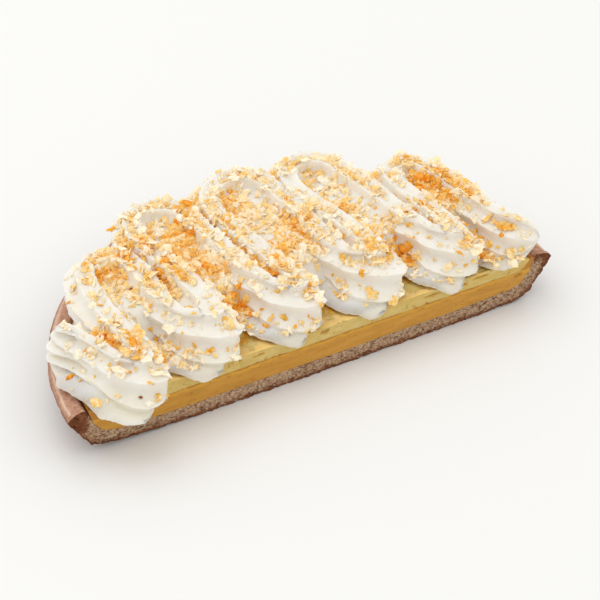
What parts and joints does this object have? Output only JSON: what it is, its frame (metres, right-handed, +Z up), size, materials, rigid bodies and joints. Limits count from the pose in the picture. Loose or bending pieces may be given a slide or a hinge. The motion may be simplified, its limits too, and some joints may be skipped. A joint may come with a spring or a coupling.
{
  "type": "vanilla custard tart half",
  "caption": "Half of a round vanilla custard tart with piped whipped cream and golden crumble, cut straight across.",
  "frame": {"origin": "under the middle of the tart's bounding box, on the surface it lies on", "axes": "+X along the cut, left to right seen from the cut side; +Y from the cut towards the round side; +Z up"},
  "size_m": [0.2588, 0.1474, 0.0513],
  "materials": {
    "baked_crust": "crumbly matte",
    "custard": "satin",
    "vanilla_cream": "satin",
    "whipped_cream": "soft satin"
  },
  "bodies": {
    "root": {"crust": "baked_crust", "custard": "custard", "vanilla_cream": "vanilla_cream", "whipped_cream": "whipped_cream"}
  },
  "joints": []
}
